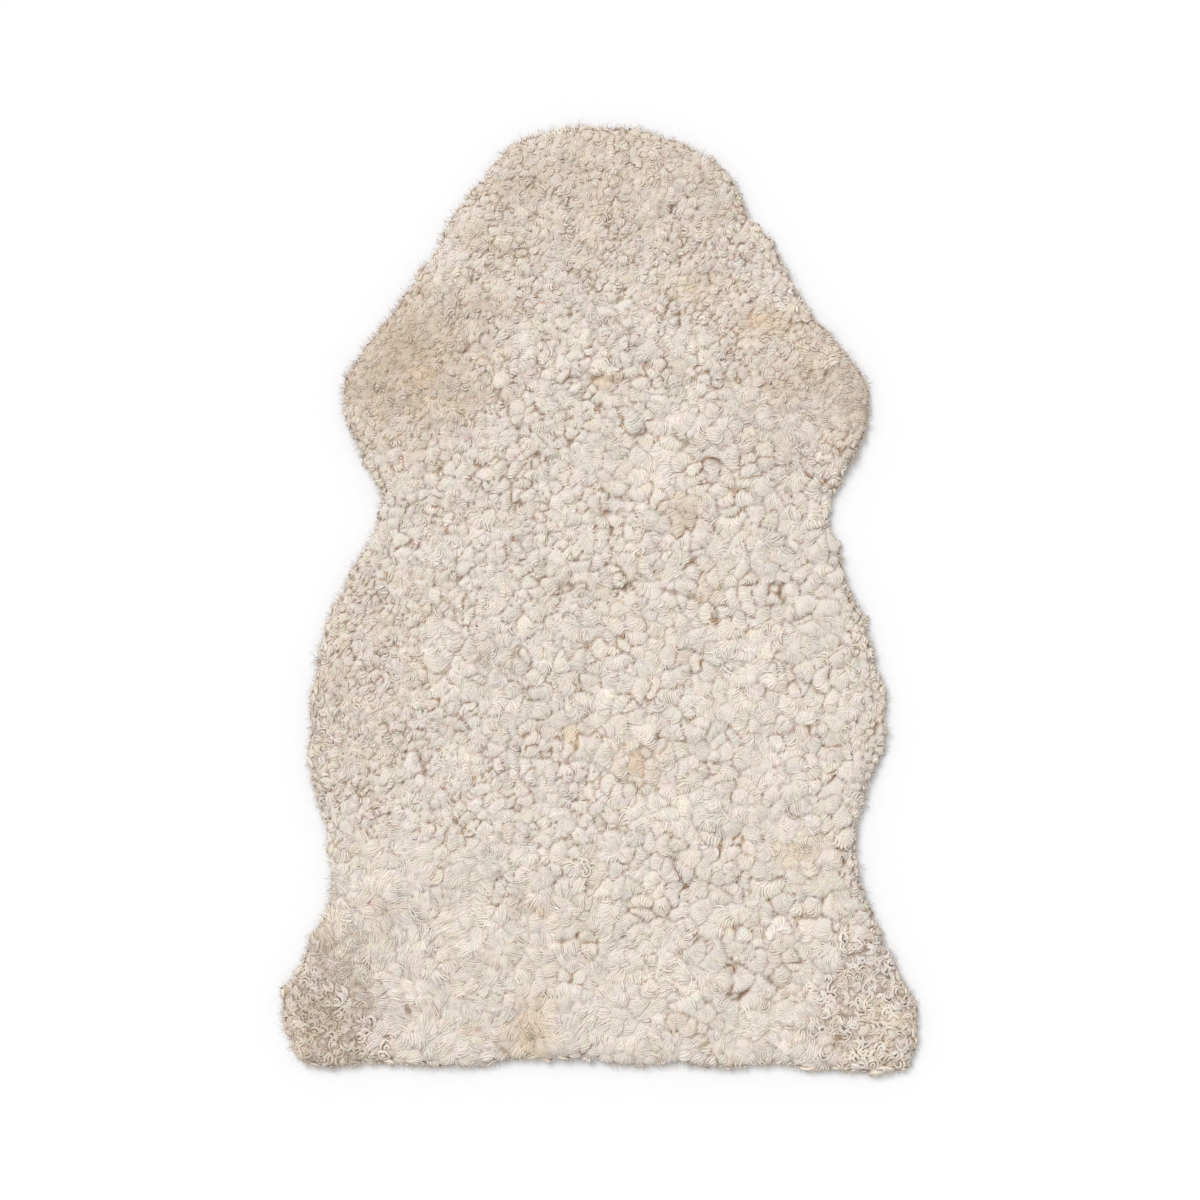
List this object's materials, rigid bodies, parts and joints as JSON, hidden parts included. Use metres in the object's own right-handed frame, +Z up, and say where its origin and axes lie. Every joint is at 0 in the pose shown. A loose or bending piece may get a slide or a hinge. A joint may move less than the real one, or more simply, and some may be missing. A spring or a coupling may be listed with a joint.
{
  "type": "sheepskin rug",
  "caption": "Whole sheepskin lying flat, wool up: short curly fleece on its hide, with a narrow head end, rounded forelegs, a drawn-in waist and spread hind corners.",
  "frame": {"origin": "on the floor under the hide, at the centre of the rug's bounding box seen from above", "axes": "+Y along the length from the tail to the head, +X across to the right with the wool up, +Z up out of the wool"},
  "size_m": [0.606, 0.9, 0.0258],
  "materials": {
    "wool": "matt curly wool",
    "suede": "napped suede"
  },
  "bodies": {
    "root": {"pelt": "wool"}
  },
  "joints": []
}
